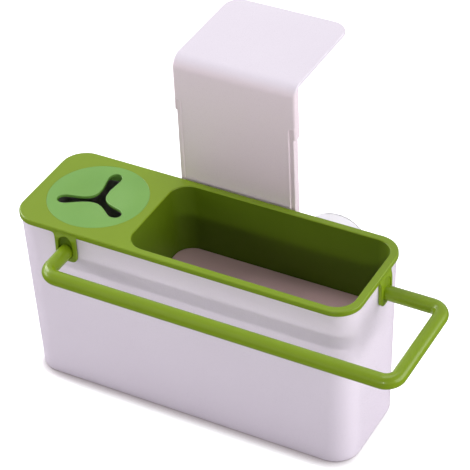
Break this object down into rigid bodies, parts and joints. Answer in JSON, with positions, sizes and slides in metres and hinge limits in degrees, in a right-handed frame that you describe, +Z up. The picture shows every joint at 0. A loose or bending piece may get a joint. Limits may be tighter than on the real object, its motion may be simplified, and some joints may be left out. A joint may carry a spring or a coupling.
{
  "type": "sink caddy with towel rail",
  "caption": "Narrow sink caddy: white tub, green top with a brush grip and sponge sleeve, a rail for a dish towel, an over-edge hanger and a suction cup.",
  "frame": {"origin": "middle of the tub's flat base, which the holder stands on", "axes": "+X along the tub, towards the end that the rail wraps round; +Y from the rail's front run to the hanger and the sink's wall; +Z up"},
  "size_m": [0.3205, 0.219, 0.2434],
  "materials": {
    "white_plastic": "smooth satin gloss",
    "green_plastic": "smooth satin gloss",
    "soft_green_rubber": "matt, flexible",
    "cup_vinyl": "milky, soft and glossy"
  },
  "bodies": {
    "tub_body": {"tub": "white_plastic", "suction_cup": "cup_vinyl"},
    "frame_body": {"top_frame": "green_plastic", "brush_grip": "soft_green_rubber", "towel_rail": "green_plastic"},
    "shelf_body": {"sponge_shelf": "white_plastic"},
    "hanger_body": {"hanger": "white_plastic"}
  },
  "joints": [
    {"name": "hanger_slide", "type": "slide", "parent": "tub_body", "child": "hanger_body", "axis": [0, 0, 1], "range_m": [-0.0683, 0.03]},
    {"name": "frame_lift", "type": "slide", "parent": "tub_body", "child": "frame_body", "axis": [0, 0, 1], "range_m": [0, 0.07]},
    {"name": "shelf_lift", "type": "slide", "parent": "frame_body", "child": "shelf_body", "axis": [0, 0, 1], "range_m": [0, 0.065]}
  ]
}
